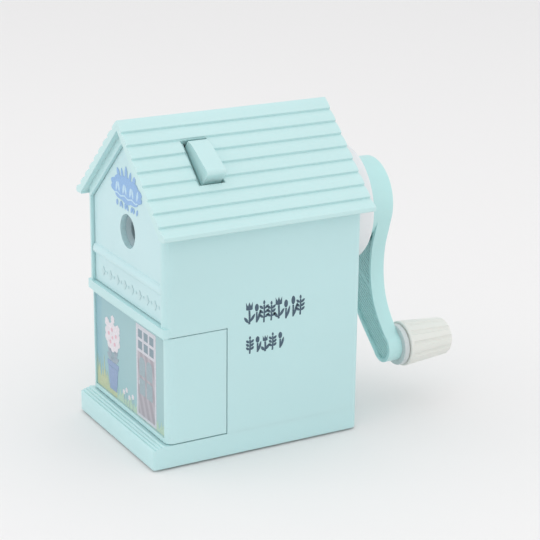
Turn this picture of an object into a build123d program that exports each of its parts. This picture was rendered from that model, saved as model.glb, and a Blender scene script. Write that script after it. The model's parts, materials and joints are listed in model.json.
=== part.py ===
from build123d import *
from math import cos, sin, tan, radians, sqrt
import os

# House-shaped hand-crank pencil sharpener.
# Axes: +Z up, -Y out of the pencil hole, +Y out of the crank shaft, +X the right-hand wall.
# Drawn with y = 0 in the middle of the house; every piece is written out FRAME_SHIFT further
# forward, which puts the origin on the table under the middle of the whole object.

os.makedirs("parts", exist_ok=True)

# ---- driving dimensions (mm) ----
FRAME_SHIFT = 20.0
HOUSE_W = 62.0  # over the side walls
HOUSE_L = 76.0  # front rim to rear wall
WALL = 2.2
CORNER_R = 2.5  # upright corners of walls, drawer and plinth
GAP = 0.3  # between a moving piece and what it passes

RIDGE_Z = 115.0
PITCH = 42.5  # roof slope in degrees
ROOF_TOP_Z = 115.6  # where the two slope planes meet, above the rounded ridge
ROOF_T = 3.0  # roof thickness, square to the slope
EAVE_X = 35.5
EAVE_Z = 81.9
FASCIA_Z = 84.3
ROOF_FRONT = -40.2
ROOF_REAR = 40.5
COURSES = 8
COURSE = 5.4  # width of one siding course down the slope
COURSE_STEP = 0.9

PLINTH_TOP = 8.7
PLINTH_BOTTOM = 0.8
PORCH_FRONT = -42.6
PORCH_FRONT_Z = 7.4
PORCH_REAR_Z = 8.75

DRAWER_BOTTOM = 9.1
DRAWER_TOP = 47.0
WRAP_END = -14.9  # rear edge of the drawer front's side panels
DRAWER_FRONT = -37.4
CARD_RECESS = 1.0
CARD_T = 0.3
LINTEL_BOTTOM = DRAWER_TOP + GAP
LINTEL_TOP = 50.5

AXIS_Z = 76.0  # pencil, cutter and crank axis
RIM = 3.0  # shell rim round the front plate
PLATE_FACE = -36.7
PLATE_T = 2.0
MOUTH_R = 6.0
PENCIL_R = 4.1
ROD_X = 22.0
ROD_Z = 62.0
ROD_R = 1.5
FEED = 22.0  # travel of the sliding front

DECK_Z = 48.6
DECK_T = 1.8
BULKHEAD_Y = -7.0
BULKHEAD_T = 2.7
REAR_BULKHEAD_Y = 28.3
CARRIER_R = 14.0
SHAFT_R = 3.0
RUN = 0.06  # radial running clearance

TILT = 9.5  # cutter axis against the pencil axis
RING_TEETH = 22
PINION_TEETH = 11
MODULE = 1.0
GEAR_Y = 21.5  # middle of the gear face
GEAR_OFFSET = MODULE * (RING_TEETH - PINION_TEETH) / 2
CUTTER_R = 5.2
CUTTER_PIN_R = 1.2

LEVER_FRONT = -18.2
LEVER_REAR = -11.1
LEVER_TOP_D = 12.2  # down the slope from the ridge
LEVER_LOW_D = 28.4
LEVER_PROUD = 4.3  # at its lower end, the finger grip
PIVOT_X = 16.5
PIVOT_Z = 91.5
LEVER_PIN_R = 1.25

COLLAR_R = 22.0
COLLAR_REAR = 49.1
HUB_R = 15.0
HUB_FRONT = 49.5
ARM_FRONT = 55.4
ARM_REAR = 61.0
KNOB_X = 18.6
KNOB_Z = 24.0
KNOB_FRONT = 63.4
KNOB_REAR = 82.6
KNOB_BIG_R = 8.4
KNOB_SMALL_R = 6.8

HALF_W = HOUSE_W / 2
FRONT = -HOUSE_L / 2
REAR = HOUSE_L / 2
SLOPE = tan(radians(PITCH))
UNDER_Z = ROOF_TOP_Z - ROOF_T / cos(radians(PITCH))  # underside at the ridge
PLATE_BACK = PLATE_FACE + PLATE_T
DECK_TOP = DECK_Z + DECK_T
INNER_X = HALF_W - WALL
BULKHEAD_BACK = BULKHEAD_Y + BULKHEAD_T


def facing(y, x=0.0, z=AXIS_Z):
    """Upright plane at depth y: sketch X is the part's X, sketch Y its Z, and extrude(+) runs to the rear."""
    return Plane(origin=(x, y, z), x_dir=(1, 0, 0), z_dir=(0, -1, 0))


def down_slope(d, n):
    """Point d down the right-hand slope from the ridge and n out of its surface, as (x, z)."""
    a = radians(PITCH)
    return (d * cos(a) + n * sin(a), ROOF_TOP_Z - d * sin(a) + n * cos(a))


def slope_box(side, d0, d1, n0, n1):
    """Corners of a box lying along one slope, from d0 to d1 down it and from n0 to n1 out of it."""
    return [(side * x, z) for x, z in (down_slope(d, n) for d, n in ((d0, n0), (d1, n0), (d1, n1), (d0, n1)))]


def gable(half_width, bottom, peak):
    """Corner points of a house outline whose roof lines fall from the peak at the roof's pitch."""
    shoulder = peak - SLOPE * half_width
    return [(-half_width, bottom), (half_width, bottom), (half_width, shoulder), (0, peak), (-half_width, shoulder)]


def write(part, label):
    placed = part.moved(Location((0, -FRAME_SHIFT, 0)))
    placed.label = label
    export_step(placed, f"parts/{label}.step")


def ground(y):
    """Upright plane at depth y whose sketch Y is the height above the table."""
    return facing(y, 0, 0)


def both_sides(part, name):
    """Writes a right-hand piece and its mirror image for the left."""
    write(part, f"{name}_right")
    write(mirror(part, about=Plane.YZ), f"{name}_left")


# ---- plinth with the porch deck ----
FEET = [(-24.0, -30.0), (24.0, -30.0), (-24.0, 22.0), (24.0, 22.0)]
POSTS = [(-24.5, 31.5), (24.5, 31.5)]
RIDGES = 4
RIDGE_CROWN = 0.36
RIDGE_PITCH = (FRONT - PORCH_FRONT) / RIDGES
PORCH_FALL = (PORCH_REAR_Z - PORCH_FRONT_Z) / RIDGES

with BuildPart() as base_plate:
    with BuildSketch(Plane.XY.offset(PLINTH_BOTTOM)):
        RectangleRounded(HOUSE_W, HOUSE_L, CORNER_R)
    extrude(amount=PLINTH_TOP - PLINTH_BOTTOM)
    with BuildSketch(Plane(origin=(-HALF_W, 0, 0), x_dir=(0, 1, 0), z_dir=(1, 0, 0))):
        with BuildLine():
            Polyline((FRONT, PORCH_REAR_Z), (FRONT + 5, PORCH_REAR_Z - 0.3), (FRONT + 5, PLINTH_BOTTOM))
            Line((FRONT + 5, PLINTH_BOTTOM), (PORCH_FRONT, PLINTH_BOTTOM))
            Line((PORCH_FRONT, PLINTH_BOTTOM), (PORCH_FRONT, PORCH_FRONT_Z))
            for i in range(RIDGES):
                y0 = PORCH_FRONT + i * RIDGE_PITCH
                z0 = PORCH_FRONT_Z + i * PORCH_FALL
                y1 = y0 + RIDGE_PITCH
                z1 = z0 + PORCH_FALL
                ThreePointArc((y0, z0), ((y0 + y1) / 2, (z0 + z1) / 2 + RIDGE_CROWN), (y1, z1))
        make_face()
    extrude(amount=HOUSE_W)
    # hollow underneath, leaving a floor under the drawer
    with BuildSketch(Plane.XY.offset(PLINTH_BOTTOM)):
        with Locations((0, -1.5)):
            Rectangle(HOUSE_W - 2 * WALL, HOUSE_L - 2 * WALL + 3)
    extrude(amount=PLINTH_TOP - PLINTH_BOTTOM - 2.2, mode=Mode.SUBTRACT)
    with BuildSketch(Plane.XY.offset(1.2)):
        with Locations(*FEET):
            Circle(5.0)
    extrude(amount=PLINTH_TOP - 2.2)
    with BuildSketch(Plane.XY.offset(PLINTH_BOTTOM)):
        with Locations(*POSTS):
            Circle(4.2)
    extrude(amount=PLINTH_TOP - PLINTH_BOTTOM - 1)
    with Locations(*[(x, y, PLINTH_BOTTOM) for x, y in POSTS]):
        CounterBoreHole(radius=1.6, counter_bore_radius=3.0, counter_bore_depth=3.0, depth=PLINTH_TOP)
    for x, y in POSTS:
        with BuildSketch(Plane(origin=(x, y, PLINTH_BOTTOM))):
            Circle(3.0)
        extrude(amount=3.0, mode=Mode.SUBTRACT)
    # runners that carry the drawer
    with BuildSketch(Plane.XY.offset(PLINTH_TOP - 0.1)):
        with Locations((-21, -6), (21, -6)):
            Rectangle(2.0, 56.0)
    extrude(amount=0.9)
    outer_corners = base_plate.faces().sort_by(Axis.Y)[0].edges().filter_by(Axis.Z)
    fillet(outer_corners, 1.2)
write(base_plate.part, "base_plate")

with BuildPart() as rubber_feet:
    with BuildSketch():
        with Locations(*FEET):
            Circle(4.2)
    extrude(amount=1.2)
    fillet(rubber_feet.edges().group_by(Axis.Z)[0], 0.4)
write(rubber_feet.part, "rubber_feet")

with BuildPart() as base_screws:
    with BuildSketch(Plane.XY.offset(1.9)):
        with Locations(*POSTS):
            Circle(2.7)
    extrude(amount=1.9)
    with BuildSketch(Plane.XY.offset(1.9)):
        with Locations(*POSTS):
            Circle(1.3)
    extrude(amount=18.0)
    with BuildSketch(Plane.XY.offset(1.9)):
        with Locations(*POSTS):
            Rectangle(3.2, 0.7)
            Rectangle(0.7, 3.2)
    extrude(amount=1.0, mode=Mode.SUBTRACT)
write(base_screws.part, "base_screws")

# ---- house shell: side walls, rear wall, front rim and the lintel above the drawer ----
REAR_SCREWS = [(x, z) for x in (-11.0, 11.0) for z in (AXIS_Z - 11, AXIS_Z + 11)]
PEGS = 3
PEG_PCD_R = COLLAR_R - 1.1

with BuildPart() as house_shell:
    with BuildSketch(ground(FRONT)):
        Polygon(*gable(HALF_W, PLINTH_TOP, UNDER_Z), align=None)
    extrude(amount=-HOUSE_L)
    upright = house_shell.edges().filter_by(Axis.Z)
    fillet(upright, CORNER_R)
    with BuildSketch(ground(FRONT + WALL)):
        Polygon(*gable(INNER_X, PLINTH_TOP - 1, UNDER_Z + 4), align=None)
    extrude(amount=-(HOUSE_L - 2 * WALL), mode=Mode.SUBTRACT)
    # opening for the sliding front, inside a rim that follows the gable
    with BuildSketch(ground(FRONT - 1)):
        Polygon(*gable(HALF_W - RIM, LINTEL_TOP, UNDER_Z - RIM / cos(radians(PITCH))), align=None)
    extrude(amount=-(WALL + 2), mode=Mode.SUBTRACT)
    # the drawer's side panels and front close this lower corner
    with BuildSketch(Plane.XY.offset(PLINTH_TOP - 1)):
        with Locations((0, (FRONT - 2 + WRAP_END + GAP) / 2)):
            Rectangle(HOUSE_W + 4, WRAP_END + GAP - FRONT + 2)
    extrude(amount=LINTEL_BOTTOM - PLINTH_TOP + 1, mode=Mode.SUBTRACT)
    # lintel, standing a little proud of the rim
    with BuildSketch(Plane.XY.offset(LINTEL_BOTTOM)):
        with Locations((0, FRONT + WALL / 2 - 0.3)):
            RectangleRounded(HOUSE_W, WALL + 0.6, 0.9)
    extrude(amount=LINTEL_TOP - LINTEL_BOTTOM)
    # ledges for the deck and posts for the base screws
    with BuildSketch(Plane.XY.offset(DECK_Z - 1.2)):
        with Locations((-INNER_X + 0.7, 10.5), (INNER_X - 0.7, 10.5)):
            Rectangle(2.0, 50.0)
    extrude(amount=1.2)
    with BuildSketch(Plane.XY.offset(PLINTH_TOP)):
        with Locations(*POSTS):
            Circle(3.6)
        with Locations((-27.5, 31.5), (27.5, 31.5)):
            Rectangle(4.0, 2.0)
    extrude(amount=DECK_Z - PLINTH_TOP)
    with BuildSketch(Plane.XY.offset(PLINTH_TOP - 1)):
        with Locations(*POSTS):
            Circle(1.35)
    extrude(amount=16.0, mode=Mode.SUBTRACT)
    # rear wall: shaft, frame screws and the collar's pegs
    with BuildSketch(facing(REAR + 1)):
        Circle(6.5)
        with Locations(*[(x, z - AXIS_Z) for x, z in REAR_SCREWS]):
            Circle(1.6)
        with PolarLocations(PEG_PCD_R, PEGS, 90):
            Circle(1.45)
    extrude(amount=WALL + 2, mode=Mode.SUBTRACT)
write(house_shell.part, "house_shell")

# ---- roof: two slopes of rounded siding courses and a fascia ----
POCKET_FRONT = -20.6
POCKET_REAR = -10.6
POCKET_TOP_D = 11.1
POCKET_LOW_D = 29.8
POCKET_DEPTH = 3.0
POCKET_FLOOR = 1.0
SLOT_GAP = 0.4


def roof_outline(side):
    """Outline of one half of the roof, from the ridge to the eave and back under it."""
    previous = (0, RIDGE_Z)
    for i in range(COURSES):
        low = 0.1 + (i + 1) * COURSE
        bulge = down_slope(low - 0.45 * COURSE, -0.12)
        lip = down_slope(low - 0.25, -0.12)
        foot = down_slope(low, -COURSE_STEP)
        ThreePointArc((side * previous[0], previous[1]), (side * bulge[0], bulge[1]), (side * lip[0], lip[1]))
        Line((side * lip[0], lip[1]), (side * foot[0], foot[1]))
        previous = foot
    inner = HALF_W + GAP
    Polyline(
        (side * previous[0], previous[1]),
        (side * (EAVE_X - 0.9), FASCIA_Z),
        (side * EAVE_X, FASCIA_Z - 0.8),
        (side * EAVE_X, EAVE_Z + 0.4),
        (side * (EAVE_X - 0.4), EAVE_Z),
        (side * inner, EAVE_Z),
        (side * inner, UNDER_Z - SLOPE * inner),
        (0, UNDER_Z),
    )
    Line((0, UNDER_Z), (0, RIDGE_Z))


with BuildPart() as roof:
    for side in (1, -1):
        with BuildSketch(ground(ROOF_FRONT)):
            with BuildLine():
                roof_outline(side)
            make_face()
        extrude(amount=-(ROOF_REAR - ROOF_FRONT))
    # a pocket round each lever: a boss under the slope, the well, and the slot the lever passes through
    well_bottom = -POCKET_DEPTH - POCKET_FLOOR
    for side in (1, -1):
        with BuildSketch(ground(POCKET_FRONT - 1)):
            Polygon(*slope_box(side, POCKET_TOP_D - 1, POCKET_LOW_D + 1, -1.5, well_bottom), align=None)
        extrude(amount=-(POCKET_REAR - POCKET_FRONT + 2))
        with BuildSketch(ground(POCKET_FRONT)):
            Polygon(*slope_box(side, POCKET_TOP_D, POCKET_LOW_D, 4, -POCKET_DEPTH), align=None)
        extrude(amount=-(POCKET_REAR - POCKET_FRONT), mode=Mode.SUBTRACT)
        with BuildSketch(ground(LEVER_FRONT - SLOT_GAP)):
            Polygon(*slope_box(side, POCKET_TOP_D, POCKET_LOW_D, 4, well_bottom - 1), align=None)
        extrude(amount=-(LEVER_REAR - LEVER_FRONT + 2 * SLOT_GAP), mode=Mode.SUBTRACT)
write(roof.part, "roof")

# ---- deck above the drawer, with the shavings chute ----
CHUTE_X = 12.0
CHUTE_FRONT = -3.0
CHUTE_REAR = 18.0

with BuildPart() as shavings_deck:
    with BuildSketch(Plane.XY.offset(DECK_Z)):
        with Locations((0, 0.8)):
            Rectangle(2 * (INNER_X - 0.1), 69.6)
    extrude(amount=DECK_T)
    with BuildSketch(Plane.XY.offset(DECK_Z - 2.6)):
        with Locations((0, (CHUTE_FRONT + CHUTE_REAR) / 2)):
            Rectangle(2 * CHUTE_X + 3, CHUTE_REAR - CHUTE_FRONT + 3)
    extrude(amount=3.0)
    with BuildSketch(Plane.XY.offset(DECK_Z - 3)):
        with Locations((0, (CHUTE_FRONT + CHUTE_REAR) / 2)):
            Rectangle(2 * CHUTE_X, CHUTE_REAR - CHUTE_FRONT)
    extrude(amount=6.0, mode=Mode.SUBTRACT)
write(shavings_deck.part, "shavings_deck")

# ---- mechanism frame: two bulkheads, the gear cup and the shaft bearing ----
CUP_R = 17.5
RING_R = 15.0
CUP_FRONT = 19.0
FRAME_X = 25.0
BUSH_R = 5.0

with BuildPart() as mechanism_frame:
    with BuildSketch(Plane.XY.offset(DECK_TOP)):
        with Locations((0, (BULKHEAD_Y + REAR_BULKHEAD_Y + BULKHEAD_T) / 2)):
            Rectangle(2 * FRAME_X, REAR_BULKHEAD_Y + BULKHEAD_T - BULKHEAD_Y)
    extrude(amount=2.6)
    with BuildSketch(Plane.XY.offset(DECK_TOP - 1)):
        with Locations((0, (CHUTE_FRONT + CHUTE_REAR) / 2)):
            Rectangle(2 * CHUTE_X, CHUTE_REAR - CHUTE_FRONT)
    extrude(amount=5.0, mode=Mode.SUBTRACT)
    with BuildSketch(ground(BULKHEAD_Y)):
        Polygon(*gable(FRAME_X, DECK_TOP, UNDER_Z - 1.0), align=None)
    extrude(amount=-BULKHEAD_T)
    with BuildSketch(ground(REAR_BULKHEAD_Y)):
        Polygon(*gable(19.0, DECK_TOP, UNDER_Z - 1.0), align=None)
    extrude(amount=-BULKHEAD_T)
    with BuildSketch(facing(CUP_FRONT)):
        Circle(CUP_R)
    extrude(amount=-(REAR_BULKHEAD_Y - CUP_FRONT))
    with BuildSketch(facing(REAR_BULKHEAD_Y + BULKHEAD_T)):
        with Locations(*[(x, z - AXIS_Z) for x, z in REAR_SCREWS]):
            Circle(3.5)
    extrude(amount=-(REAR - WALL - REAR_BULKHEAD_Y - BULKHEAD_T))
    with BuildSketch(facing(CUP_FRONT - 1)):
        Circle(RING_R + 0.05)
    extrude(amount=-(REAR_BULKHEAD_Y - CUP_FRONT + 1), mode=Mode.SUBTRACT)
    with BuildSketch(facing(REAR_BULKHEAD_Y - 1)):
        Circle(BUSH_R)
        with Locations(*[(x, z - AXIS_Z) for x, z in REAR_SCREWS]):
            Circle(1.35)
    extrude(amount=-12, mode=Mode.SUBTRACT)
    with BuildSketch(facing(BULKHEAD_Y - 1)):
        Circle(CARRIER_R + RUN)
        with Locations((-ROD_X, ROD_Z - AXIS_Z), (ROD_X, ROD_Z - AXIS_Z)):
            Circle(ROD_R + RUN)
        with Locations((-PIVOT_X, PIVOT_Z - AXIS_Z), (PIVOT_X, PIVOT_Z - AXIS_Z)):
            Circle(LEVER_PIN_R + 0.03)
        # windows for the jaw rails
        with Locations((-21.8, 3.5), (21.8, 3.5)):
            Rectangle(4.6, 6.2)
    extrude(amount=-(BULKHEAD_T + 2), mode=Mode.SUBTRACT)
write(mechanism_frame.part, "mechanism_frame")

with BuildPart() as frame_screws:
    with BuildSketch(facing(REAR)):
        with Locations(*[(x, z - AXIS_Z) for x, z in REAR_SCREWS]):
            Circle(2.6)
    extrude(amount=-1.6)
    with BuildSketch(facing(REAR)):
        with Locations(*[(x, z - AXIS_Z) for x, z in REAR_SCREWS]):
            Circle(1.3)
    extrude(amount=9.0)
write(frame_screws.part, "frame_screws")

with BuildPart() as shaft_bush:
    with BuildSketch(facing(REAR_BULKHEAD_Y)):
        Circle(BUSH_R)
    extrude(amount=-(BULKHEAD_T + 1.5))
    with BuildSketch(facing(REAR_BULKHEAD_Y + BULKHEAD_T)):
        Circle(BUSH_R + 1.4)
    extrude(amount=-1.5)
    with BuildSketch(facing(REAR_BULKHEAD_Y - 1)):
        Circle(SHAFT_R + RUN)
    extrude(amount=-8, mode=Mode.SUBTRACT)
write(shaft_bush.part, "shaft_bush")

# ---- planetary gears ----
ADDENDUM = 0.75
DEDENDUM = 1.0


def tooth(pitch_r, root_r, tip_r, angle):
    """One straight-sided tooth between two radii, as a closed polygon about the given angle."""
    half = {root_r: 0.82, pitch_r: 0.62, tip_r: 0.4}
    a = radians(angle)
    points = []
    for r, sign in ((root_r, -1), (pitch_r, -1), (tip_r, -1), (tip_r, 1), (pitch_r, 1), (root_r, 1)):
        w = sign * half[r]
        points.append((r * sin(a) + w * cos(a), r * cos(a) - w * sin(a)))
    return points


RING_PITCH_R = MODULE * RING_TEETH / 2
PINION_PITCH_R = MODULE * PINION_TEETH / 2

with BuildPart() as ring_gear:
    with BuildSketch(facing(GEAR_Y - 1.5)):
        Circle(RING_R)
        Circle(RING_PITCH_R + DEDENDUM, mode=Mode.SUBTRACT)
        for i in range(RING_TEETH):
            angle = (i + 0.5) * 360 / RING_TEETH
            Polygon(*tooth(RING_PITCH_R, RING_PITCH_R + DEDENDUM + 0.3, RING_PITCH_R - ADDENDUM, angle), align=None)
    extrude(amount=-3.0)
write(ring_gear.part, "ring_gear")


def cutter_plane(y):
    """Plane square to the tilted cutter axis where that axis reaches depth y."""
    t = radians(TILT)
    height = AXIS_Z + GEAR_OFFSET + (GEAR_Y - y) * tan(t)
    return Plane(origin=(0, y, height), x_dir=(1, 0, 0), z_dir=(0, -cos(t), sin(t)))


with BuildPart() as cutter_pinion:
    with BuildSketch(cutter_plane(GEAR_Y - 1.6)):
        Circle(PINION_PITCH_R - DEDENDUM)
        for i in range(PINION_TEETH):
            angle = i * 360 / PINION_TEETH
            Polygon(*tooth(PINION_PITCH_R, PINION_PITCH_R - DEDENDUM - 0.3, PINION_PITCH_R + ADDENDUM, angle), align=None)
        Circle(CUTTER_PIN_R + RUN, mode=Mode.SUBTRACT)
    extrude(amount=-3.2)
write(cutter_pinion.part, "cutter_pinion")

CUTTER_TEETH = 16
CUTTER_FRONT = -3.0
CUTTER_REAR = 18.8
CUTTER_TWIST = 30.0  # per third of its length

with BuildPart() as helical_cutter:
    for i in range(4):
        y = CUTTER_FRONT + i * (CUTTER_REAR - CUTTER_FRONT) / 3
        with BuildSketch(cutter_plane(y)):
            points = []
            for k in range(CUTTER_TEETH):
                a = radians(360 * k / CUTTER_TEETH + i * CUTTER_TWIST)
                b = radians(360 * (k + 0.3) / CUTTER_TEETH + i * CUTTER_TWIST)
                points.append((CUTTER_R * cos(a), CUTTER_R * sin(a)))
                points.append(((CUTTER_R - 0.8) * cos(b), (CUTTER_R - 0.8) * sin(b)))
            Polygon(*points, align=None)
    loft(ruled=True)
    with BuildSketch(cutter_plane(CUTTER_REAR - 0.5)):
        Circle(3.6)
    extrude(amount=-1.6)
    with BuildSketch(cutter_plane(CUTTER_FRONT - 1)):
        Circle(CUTTER_PIN_R + RUN)
    extrude(amount=-26, mode=Mode.SUBTRACT)
write(helical_cutter.part, "helical_cutter")

with BuildPart() as cutter_pin:
    with BuildSketch(cutter_plane(-6.2)):
        Circle(CUTTER_PIN_R)
    extrude(amount=-32.6)
write(cutter_pin.part, "cutter_pin")

REAR_DISC_Y = 24.2

with BuildPart() as cutter_carrier:
    with BuildSketch(facing(BULKHEAD_Y)):
        Circle(CARRIER_R)
    extrude(amount=-BULKHEAD_T)
    with BuildSketch(facing(BULKHEAD_BACK)):
        Circle(9.5)
        Circle(6.5, mode=Mode.SUBTRACT)
        with Locations((0, 7.0)):
            Rectangle(30, 20, mode=Mode.SUBTRACT)
    extrude(amount=-(REAR_DISC_Y - BULKHEAD_BACK))
    with BuildSketch(facing(REAR_DISC_Y)):
        Circle(9.5)
    extrude(amount=-3.0)
    with BuildSketch(facing(BULKHEAD_Y - 1)):
        Circle(PENCIL_R + 0.2)
    extrude(amount=-(BULKHEAD_T + 2), mode=Mode.SUBTRACT)
    with BuildSketch(facing(REAR_DISC_Y + 0.6)):
        Circle(SHAFT_R)
    extrude(amount=-5, mode=Mode.SUBTRACT)
    with BuildSketch(cutter_plane(-6.2)):
        Circle(CUTTER_PIN_R + 0.02)
    extrude(amount=-32.6, mode=Mode.SUBTRACT)
write(cutter_carrier.part, "cutter_carrier")

with BuildPart() as drive_shaft:
    with BuildSketch(facing(REAR_DISC_Y + 2.9)):
        Circle(SHAFT_R)
    extrude(amount=-(58.4 - REAR_DISC_Y - 2.9))
    with BuildSketch(facing(REAR_DISC_Y + 0.6)):
        Circle(1.6)
    extrude(amount=-4)
    with BuildSketch(facing(59)):
        Circle(1.5)
    extrude(amount=9, mode=Mode.SUBTRACT)
write(drive_shaft.part, "drive_shaft")

# ---- white rear collar ----
with BuildPart() as rear_collar:
    with BuildSketch(facing(REAR)):
        Circle(COLLAR_R)
    extrude(amount=-(COLLAR_REAR - REAR))
    fillet(rear_collar.edges().filter_by(GeomType.CIRCLE).sort_by(Axis.Y)[-1], 1.6)
    with BuildSketch(facing(REAR - 0.1)):
        Circle(COLLAR_R - WALL)
        Circle(6.0, mode=Mode.SUBTRACT)
    extrude(amount=-(COLLAR_REAR - REAR - WALL), mode=Mode.SUBTRACT)
    with BuildSketch(facing(REAR)):
        with PolarLocations(PEG_PCD_R, PEGS, 90):
            Circle(1.35)
    extrude(amount=2.6)
    with BuildSketch(facing(REAR - 1)):
        Circle(SHAFT_R + RUN)
    extrude(amount=-14, mode=Mode.SUBTRACT)
write(rear_collar.part, "rear_collar")

# ---- crank arm: round boss, curved arm, small end boss, ribbed hollow inside ----
END_R = 5.6
ARM_HOLLOW = 2.6  # depth of the hollow that the fine hatching sits in
PIN_FRONT = ARM_FRONT + ARM_HOLLOW + 0.7  # the knob's pin stays behind the hollow's floor


def arm_outline(inset=0.0):
    """Curved arm that leaves the hub along its rim and ends round the knob; inset draws it narrower for the hollow."""
    n = inset
    right = [(14.1, 70.9), (12.7 - n, 66.5), (10.9 - n, 60.5), (10.1 - n, 54.0), (10.6 - n, 46.5), (12.6 - n, 40.0), (16.0 - n, 34.6)]
    right.append((KNOB_X + (END_R - n) * 0.93, KNOB_Z + 2.2))
    left = [(KNOB_X - (END_R - n) * 0.62, KNOB_Z - (END_R - n) * 0.75), (6.2 + n * 0.7, 27.6 + n * 0.7), (-1.2 + n, 36.5)]
    left += [(-4.1 + n, 47.5), (-6.6 + n, 56.5), (-10.4 + n, 63.5), (-14.1, 70.9)]
    Spline(*right)
    Line(right[-1], left[0])
    Spline(*left)
    Line(left[-1], right[0])


with BuildPart() as crank_arm:
    with BuildSketch(facing(HUB_FRONT)):
        Circle(HUB_R)
    extrude(amount=-(ARM_REAR - HUB_FRONT))
    with BuildSketch(ground(ARM_FRONT)):
        with BuildLine():
            arm_outline()
        make_face()
    extrude(amount=-(ARM_REAR - ARM_FRONT))
    with BuildSketch(facing(ARM_FRONT, KNOB_X, KNOB_Z)):
        Circle(END_R)
    extrude(amount=-(ARM_REAR - ARM_FRONT))
    with BuildSketch(ground(ARM_FRONT)):
        with BuildLine():
            arm_outline(1.3)
        make_face()
        with Locations((KNOB_X, KNOB_Z)):
            Circle(END_R - 1.3)
        with Locations((0, AXIS_Z)):
            Circle(HUB_R, mode=Mode.SUBTRACT)
    extrude(amount=-ARM_HOLLOW, mode=Mode.SUBTRACT)
    # ring-shaped hollow in the boss
    with BuildSketch(facing(HUB_FRONT)):
        Circle(HUB_R - 2)
        Circle(6.5, mode=Mode.SUBTRACT)
    extrude(amount=-7.5, mode=Mode.SUBTRACT)
    with BuildSketch(facing(HUB_FRONT)):
        Circle(SHAFT_R + 0.02)
    extrude(amount=-9.0, mode=Mode.SUBTRACT)
    with BuildSketch(facing(58.0)):
        Circle(1.7)
    extrude(amount=-5, mode=Mode.SUBTRACT)
    with BuildSketch(facing(59.0)):
        Circle(5.0)
    extrude(amount=-5, mode=Mode.SUBTRACT)
    with BuildSketch(facing(PIN_FRONT, KNOB_X, KNOB_Z)):
        Circle(2.0)
    extrude(amount=-8, mode=Mode.SUBTRACT)
write(crank_arm.part, "crank_arm")

with BuildPart() as crank_screw:
    with BuildSketch(facing(59.0)):
        Circle(2.9)
    extrude(amount=-1.4)
    with BuildSketch(facing(59.0)):
        Circle(1.45)
    extrude(amount=7.5)
write(crank_screw.part, "crank_screw")

with BuildPart() as crank_cap:
    with BuildSketch(facing(60.6)):
        Circle(4.9)
    extrude(amount=-1.2)
    fillet(crank_cap.edges().sort_by(Axis.Y)[-1], 0.6)
    with BuildSketch(facing(60.6)):
        Circle(4.9)
        Circle(3.9, mode=Mode.SUBTRACT)
    extrude(amount=1.5)
write(crank_cap.part, "crank_cap")

with BuildPart() as knob_seat:
    with BuildSketch(facing(ARM_REAR, KNOB_X, KNOB_Z)):
        Circle(7.6)
        Circle(2.1, mode=Mode.SUBTRACT)
    extrude(amount=-2.1)
write(knob_seat.part, "knob_seat")

with BuildPart() as knob_screw:
    with BuildSketch(facing(PIN_FRONT + 0.1, KNOB_X, KNOB_Z)):
        Circle(1.98)
    extrude(amount=-(80.2 - PIN_FRONT - 0.1))
    with BuildSketch(facing(80.2, KNOB_X, KNOB_Z)):
        Circle(3.4)
    extrude(amount=-1.4)
    with BuildSketch(facing(81.6, KNOB_X, KNOB_Z)):
        Rectangle(4.4, 0.8)
        Rectangle(0.8, 4.4)
    extrude(amount=0.7, mode=Mode.SUBTRACT)
write(knob_screw.part, "knob_screw")

FLUTES = 12

with BuildPart() as knob:
    with BuildSketch(facing(KNOB_FRONT, KNOB_X, KNOB_Z)):
        Circle(KNOB_BIG_R)
    with BuildSketch(facing(KNOB_REAR, KNOB_X, KNOB_Z)):
        Circle(KNOB_SMALL_R)
    loft()
    fillet(knob.edges().sort_by(Axis.Y)[-1], 1.3)
    fillet(knob.edges().sort_by(Axis.Y)[0], 0.6)
    for i in range(FLUTES):
        a = radians((i + 0.5) * 360 / FLUTES)
        start_r = KNOB_BIG_R + 0.55
        end_r = KNOB_SMALL_R + 0.35
        with BuildSketch(facing(KNOB_FRONT + 1.4, KNOB_X + start_r * cos(a), KNOB_Z + start_r * sin(a))):
            Circle(1.25)
        with BuildSketch(facing(KNOB_REAR + 0.4, KNOB_X + end_r * cos(a), KNOB_Z + end_r * sin(a))):
            Circle(1.0)
        loft(mode=Mode.SUBTRACT)
    with BuildSketch(facing(KNOB_FRONT, KNOB_X, KNOB_Z)):
        Circle(2.0 + RUN)
    extrude(amount=-25, mode=Mode.SUBTRACT)
    with BuildSketch(facing(80.0, KNOB_X, KNOB_Z)):
        Circle(3.8)
    extrude(amount=-5, mode=Mode.SUBTRACT)
write(knob.part, "knob")

# ---- sliding front: face plate, pencil clamp, rods ----
BLOCK_X = 18.0
CHANNEL = (71.7, 80.3)
JAW_FRONT = -31.0
JAW_REAR = -25.0
BLOCK_FRONT_T = 3.4
BLOCK_REAR = -24.7
COVER_T = 2.0

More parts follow.
